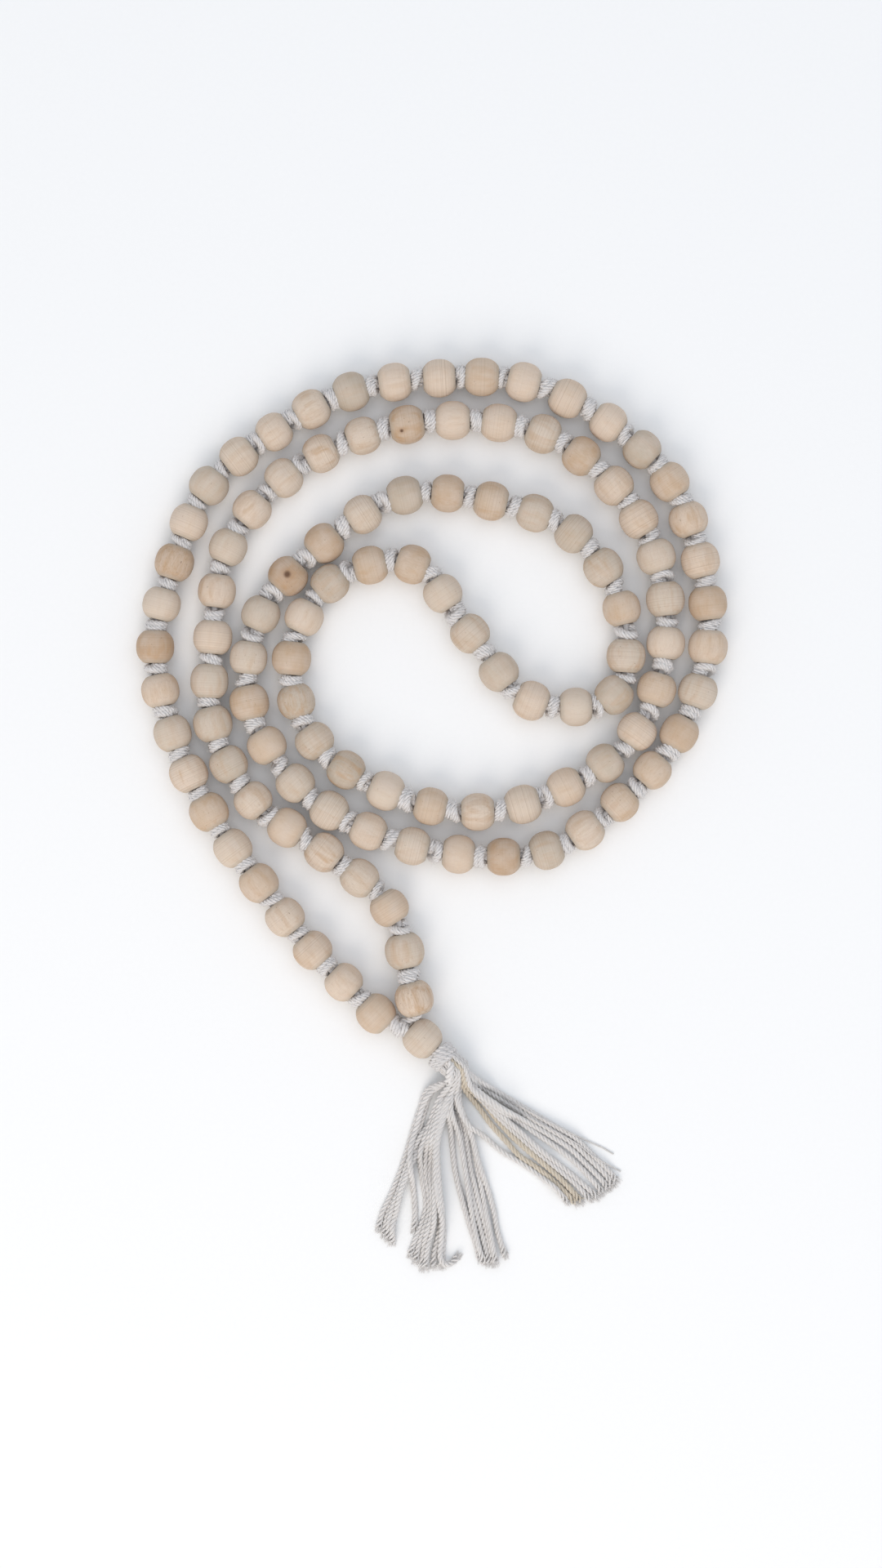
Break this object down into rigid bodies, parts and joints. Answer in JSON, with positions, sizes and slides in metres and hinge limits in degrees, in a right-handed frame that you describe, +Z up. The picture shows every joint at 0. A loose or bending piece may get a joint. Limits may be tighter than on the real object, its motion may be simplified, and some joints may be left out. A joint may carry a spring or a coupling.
{
  "type": "mala prayer beads",
  "caption": "Knotted mala of raw wooden beads on a white cord, with a guru bead and a loose cord tassel, laid flat in a spiral.",
  "frame": {"origin": "middle of the laid strand and tassel, on the table that they lie on", "axes": "+Z up from the table, -Y towards the tassel, +X to the right with the tassel nearest the viewer"},
  "size_m": [0.1542, 0.2383, 0.0115],
  "materials": {
    "bead_wood": "raw turned wood, matte and unvarnished, fine lathe rings and small specks",
    "knotted_strand": "raw matte wooden beads with a white twisted cord and its knots, in one solid",
    "white_cord": "white three-ply twisted cord, soft sheen, cut and slightly frayed ends"
  },
  "bodies": {
    "coil": {"coil_cord_1": "knotted_strand", "coil_cord_2": "knotted_strand", "coil_cord_3": "knotted_strand", "coil_cord_4": "knotted_strand", "coil_cord_5": "knotted_strand", "coil_cord_6": "knotted_strand", "coil_cord_7": "knotted_strand", "coil_cord_8": "knotted_strand"},
    "outer_arc": {"outer_arc_cord": "knotted_strand"},
    "centre_bight": {"centre_bight_cord": "knotted_strand"},
    "tail_upper": {"tail_upper_left_cord": "knotted_strand", "tail_upper_right_cord": "knotted_strand"},
    "tail_middle": {"tail_middle_left_cord": "knotted_strand", "tail_middle_right_cord": "knotted_strand"},
    "tail_lower": {"tail_lower_cord": "knotted_strand"},
    "tassel": {"tassel_knot": "white_cord", "tassel_left_cords": "white_cord", "tassel_middle_cords": "white_cord", "tassel_centre_cords": "white_cord", "tassel_right_cords": "white_cord"},
    "guru": {"guru_bead": "bead_wood"},
    "loose_004": {"bead_004": "bead_wood"},
    "loose_007": {"bead_007": "bead_wood"},
    "loose_009": {"bead_009": "bead_wood"},
    "loose_012": {"bead_012": "bead_wood"},
    "loose_015": {"bead_015": "bead_wood"},
    "loose_017": {"bead_017": "bead_wood"},
    "loose_020": {"bead_020": "bead_wood"},
    "loose_023": {"bead_023": "bead_wood"},
    "loose_025": {"bead_025": "bead_wood"},
    "loose_028": {"bead_028": "bead_wood"},
    "loose_031": {"bead_031": "bead_wood"},
    "loose_033": {"bead_033": "bead_wood"},
    "loose_036": {"bead_036": "bead_wood"},
    "loose_039": {"bead_039": "bead_wood"},
    "loose_041": {"bead_041": "bead_wood"},
    "loose_044": {"bead_044": "bead_wood"},
    "loose_047": {"bead_047": "bead_wood"},
    "loose_049": {"bead_049": "bead_wood"},
    "loose_052": {"bead_052": "bead_wood"},
    "loose_055": {"bead_055": "bead_wood"},
    "loose_057": {"bead_057": "bead_wood"},
    "loose_062": {"bead_062": "bead_wood"},
    "loose_064": {"bead_064": "bead_wood"},
    "loose_066": {"bead_066": "bead_wood"},
    "loose_068": {"bead_068": "bead_wood"},
    "loose_070": {"bead_070": "bead_wood"},
    "loose_073": {"bead_073": "bead_wood"},
    "loose_076": {"bead_076": "bead_wood"},
    "loose_079": {"bead_079": "bead_wood"},
    "loose_081": {"bead_081": "bead_wood"},
    "loose_084": {"bead_084": "bead_wood"},
    "loose_087": {"bead_087": "bead_wood"},
    "loose_089": {"bead_089": "bead_wood"},
    "loose_092": {"bead_092": "bead_wood"},
    "loose_095": {"bead_095": "bead_wood"},
    "loose_097": {"bead_097": "bead_wood"},
    "loose_100": {"bead_100": "bead_wood"},
    "loose_103": {"bead_103": "bead_wood"},
    "loose_104": {"bead_104": "bead_wood"}
  },
  "joints": [
    {"name": "lift_outer_arc", "type": "hinge", "parent": "coil", "child": "outer_arc", "pos_m": [-0.00336, 0.08122, 0.005], "axis": [0.9872, 0.1595, 0], "range_deg": [0, 30]},
    {"name": "lift_centre_bight", "type": "hinge", "parent": "coil", "child": "centre_bight", "pos_m": [0.02401, 0.04914, 0.005], "axis": [-0.8938, 0.4485, 0], "range_deg": [0, 25]},
    {"name": "lift_tail_upper", "type": "hinge", "parent": "coil", "child": "tail_upper", "pos_m": [-0.03589, -0.01291, 0.005], "axis": [-1, -0.0049, 0], "range_deg": [0, 30]},
    {"name": "lift_tail_middle", "type": "hinge", "parent": "tail_upper", "child": "tail_middle", "pos_m": [-0.02181, -0.03015, 0.005], "axis": [-0.9991, -0.0424, 0], "range_deg": [0, 30]},
    {"name": "lift_tail_lower", "type": "hinge", "parent": "tail_middle", "child": "tail_lower", "pos_m": [-0.01223, -0.04439, 0.005], "axis": [-0.9055, -0.4244, 0], "range_deg": [0, 30]},
    {"name": "lift_tassel", "type": "hinge", "parent": "tail_lower", "child": "tassel", "pos_m": [0.00153, -0.06156, 0.005], "axis": [-0.6712, -0.7413, 0], "range_deg": [0, 30]},
    {"name": "spin_guru", "type": "hinge", "parent": "tail_lower", "child": "guru", "pos_m": [-0.0024, -0.058, 0.005], "axis": [0.7413, -0.6712, 0], "continuous": true},
    {"name": "spin_004", "type": "hinge", "parent": "tail_upper", "child": "loose_004", "pos_m": [-0.0382, -0.02639, 0.005], "axis": [-0.6199, 0.7847, 0], "continuous": true},
    {"name": "spin_007", "type": "hinge", "parent": "coil", "child": "loose_007", "pos_m": [-0.058, 0.001, 0.005], "axis": [-0.4999, 0.8661, 0], "continuous": true},
    {"name": "spin_009", "type": "hinge", "parent": "coil", "child": "loose_009", "pos_m": [-0.0675, 0.0215, 0.005], "axis": [-0.3107, 0.9505, 0], "continuous": true},
    {"name": "spin_012", "type": "hinge", "parent": "coil", "child": "loose_012", "pos_m": [-0.07035, 0.05513, 0.005], "axis": [0.2472, 0.969, 0], "continuous": true},
    {"name": "spin_015", "type": "hinge", "parent": "outer_arc", "child": "loose_015", "pos_m": [-0.058, 0.086, 0.005], "axis": [0.6071, 0.7947, 0], "continuous": true},
    {"name": "spin_017", "type": "hinge", "parent": "outer_arc", "child": "loose_017", "pos_m": [-0.041, 0.1, 0.005], "axis": [0.8331, 0.5531, 0], "continuous": true},
    {"name": "spin_020", "type": "hinge", "parent": "outer_arc", "child": "loose_020", "pos_m": [-0.00965, 0.11299, 0.005], "axis": [0.9909, 0.1344, 0], "continuous": true},
    {"name": "spin_023", "type": "hinge", "parent": "outer_arc", "child": "loose_023", "pos_m": [0.024, 0.113, 0.005], "axis": [0.9701, -0.2429, 0], "continuous": true},
    {"name": "spin_025", "type": "hinge", "parent": "outer_arc", "child": "loose_025", "pos_m": [0.046, 0.1025, 0.005], "axis": [0.8212, -0.5707, 0], "continuous": true},
    {"name": "spin_028", "type": "hinge", "parent": "coil", "child": "loose_028", "pos_m": [0.06687, 0.07717, 0.005], "axis": [0.3479, -0.9375, 0], "continuous": true},
    {"name": "spin_031", "type": "hinge", "parent": "coil", "child": "loose_031", "pos_m": [0.072, 0.044, 0.005], "axis": [-0.1162, -0.9932, 0], "continuous": true},
    {"name": "spin_033", "type": "hinge", "parent": "coil", "child": "loose_033", "pos_m": [0.0645, 0.0215, 0.005], "axis": [-0.4938, -0.8696, 0], "continuous": true},
    {"name": "spin_036", "type": "hinge", "parent": "coil", "child": "loose_036", "pos_m": [0.03998, -0.00378, 0.005], "axis": [-0.8191, -0.5737, 0], "continuous": true},
    {"name": "spin_039", "type": "hinge", "parent": "coil", "child": "loose_039", "pos_m": [0.007, -0.01, 0.005], "axis": [-0.9946, 0.1033, 0], "continuous": true},
    {"name": "spin_041", "type": "hinge", "parent": "coil", "child": "loose_041", "pos_m": [-0.0165, -0.004, 0.005], "axis": [-0.9148, 0.4038, 0], "continuous": true},
    {"name": "spin_044", "type": "hinge", "parent": "coil", "child": "loose_044", "pos_m": [-0.04293, 0.01833, 0.005], "axis": [-0.5119, 0.8591, 0], "continuous": true},
    {"name": "spin_047", "type": "hinge", "parent": "coil", "child": "loose_047", "pos_m": [-0.0445, 0.0525, 0.005], "axis": [0.4164, 0.9092, 0], "continuous": true},
    {"name": "spin_049", "type": "hinge", "parent": "coil", "child": "loose_049", "pos_m": [-0.028, 0.071, 0.005], "axis": [0.7714, 0.6363, 0], "continuous": true},
    {"name": "spin_052", "type": "hinge", "parent": "coil", "child": "loose_052", "pos_m": [0.00419, 0.08401, 0.005], "axis": [0.995, -0.0997, 0], "continuous": true},
    {"name": "spin_055", "type": "hinge", "parent": "coil", "child": "loose_055", "pos_m": [0.037, 0.0735, 0.005], "axis": [0.7723, -0.6352, 0], "continuous": true},
    {"name": "spin_057", "type": "hinge", "parent": "coil", "child": "loose_057", "pos_m": [0.0495, 0.054, 0.005], "axis": [0.2386, -0.9711, 0], "continuous": true},
    {"name": "spin_062", "type": "hinge", "parent": "centre_bight", "child": "loose_062", "pos_m": [0.01752, 0.03749, 0.005], "axis": [-0.6096, 0.7927, 0], "continuous": true},
    {"name": "spin_064", "type": "hinge", "parent": "centre_bight", "child": "loose_064", "pos_m": [0.0029, 0.05793, 0.005], "axis": [-0.5539, 0.8326, 0], "continuous": true},
    {"name": "spin_066", "type": "hinge", "parent": "coil", "child": "loose_066", "pos_m": [-0.01604, 0.0653, 0.005], "axis": [-0.9702, -0.2423, 0], "continuous": true},
    {"name": "spin_068", "type": "hinge", "parent": "coil", "child": "loose_068", "pos_m": [-0.0332, 0.05177, 0.005], "axis": [-0.4477, -0.8942, 0], "continuous": true},
    {"name": "spin_070", "type": "hinge", "parent": "coil", "child": "loose_070", "pos_m": [-0.03528, 0.02983, 0.005], "axis": [0.2733, -0.9619, 0], "continuous": true},
    {"name": "spin_073", "type": "hinge", "parent": "coil", "child": "loose_073", "pos_m": [-0.012, 0.0065, 0.005], "axis": [0.9136, -0.4066, 0], "continuous": true},
    {"name": "spin_076", "type": "hinge", "parent": "coil", "child": "loose_076", "pos_m": [0.02381, 0.003, 0.005], "axis": [0.9587, 0.2843, 0], "continuous": true},
    {"name": "spin_079", "type": "hinge", "parent": "coil", "child": "loose_079", "pos_m": [0.0535, 0.022, 0.005], "axis": [0.5734, 0.8193, 0], "continuous": true},
    {"name": "spin_081", "type": "hinge", "parent": "coil", "child": "loose_081", "pos_m": [0.061, 0.045, 0.005], "axis": [0.102, 0.9948, 0], "continuous": true},
    {"name": "spin_084", "type": "hinge", "parent": "coil", "child": "loose_084", "pos_m": [0.05396, 0.0773, 0.005], "axis": [-0.5131, 0.8583, 0], "continuous": true},
    {"name": "spin_087", "type": "hinge", "parent": "coil", "child": "loose_087", "pos_m": [0.029, 0.0995, 0.005], "axis": [-0.9253, 0.3793, 0], "continuous": true},
    {"name": "spin_089", "type": "hinge", "parent": "coil", "child": "loose_089", "pos_m": [0.0055, 0.103, 0.005], "axis": [-0.9999, -0.0106, 0], "continuous": true},
    {"name": "spin_092", "type": "hinge", "parent": "coil", "child": "loose_092", "pos_m": [-0.02879, 0.09438, 0.005], "axis": [-0.8851, -0.4653, 0], "continuous": true},
    {"name": "spin_095", "type": "hinge", "parent": "coil", "child": "loose_095", "pos_m": [-0.053, 0.07, 0.005], "axis": [-0.4105, -0.9118, 0], "continuous": true},
    {"name": "spin_097", "type": "hinge", "parent": "coil", "child": "loose_097", "pos_m": [-0.057, 0.0465, 0.005], "axis": [-0.0842, -0.9965, 0], "continuous": true},
    {"name": "spin_100", "type": "hinge", "parent": "coil", "child": "loose_100", "pos_m": [-0.0529, 0.01343, 0.005], "axis": [0.4672, -0.8842, 0], "continuous": true},
    {"name": "spin_103", "type": "hinge", "parent": "coil", "child": "loose_103", "pos_m": [-0.028, -0.0095, 0.005], "axis": [0.7857, -0.6186, 0], "continuous": true},
    {"name": "spin_104", "type": "hinge", "parent": "tail_upper", "child": "loose_104", "pos_m": [-0.01876, -0.01619, 0.005], "axis": [0.799, -0.6013, 0], "continuous": true}
  ]
}
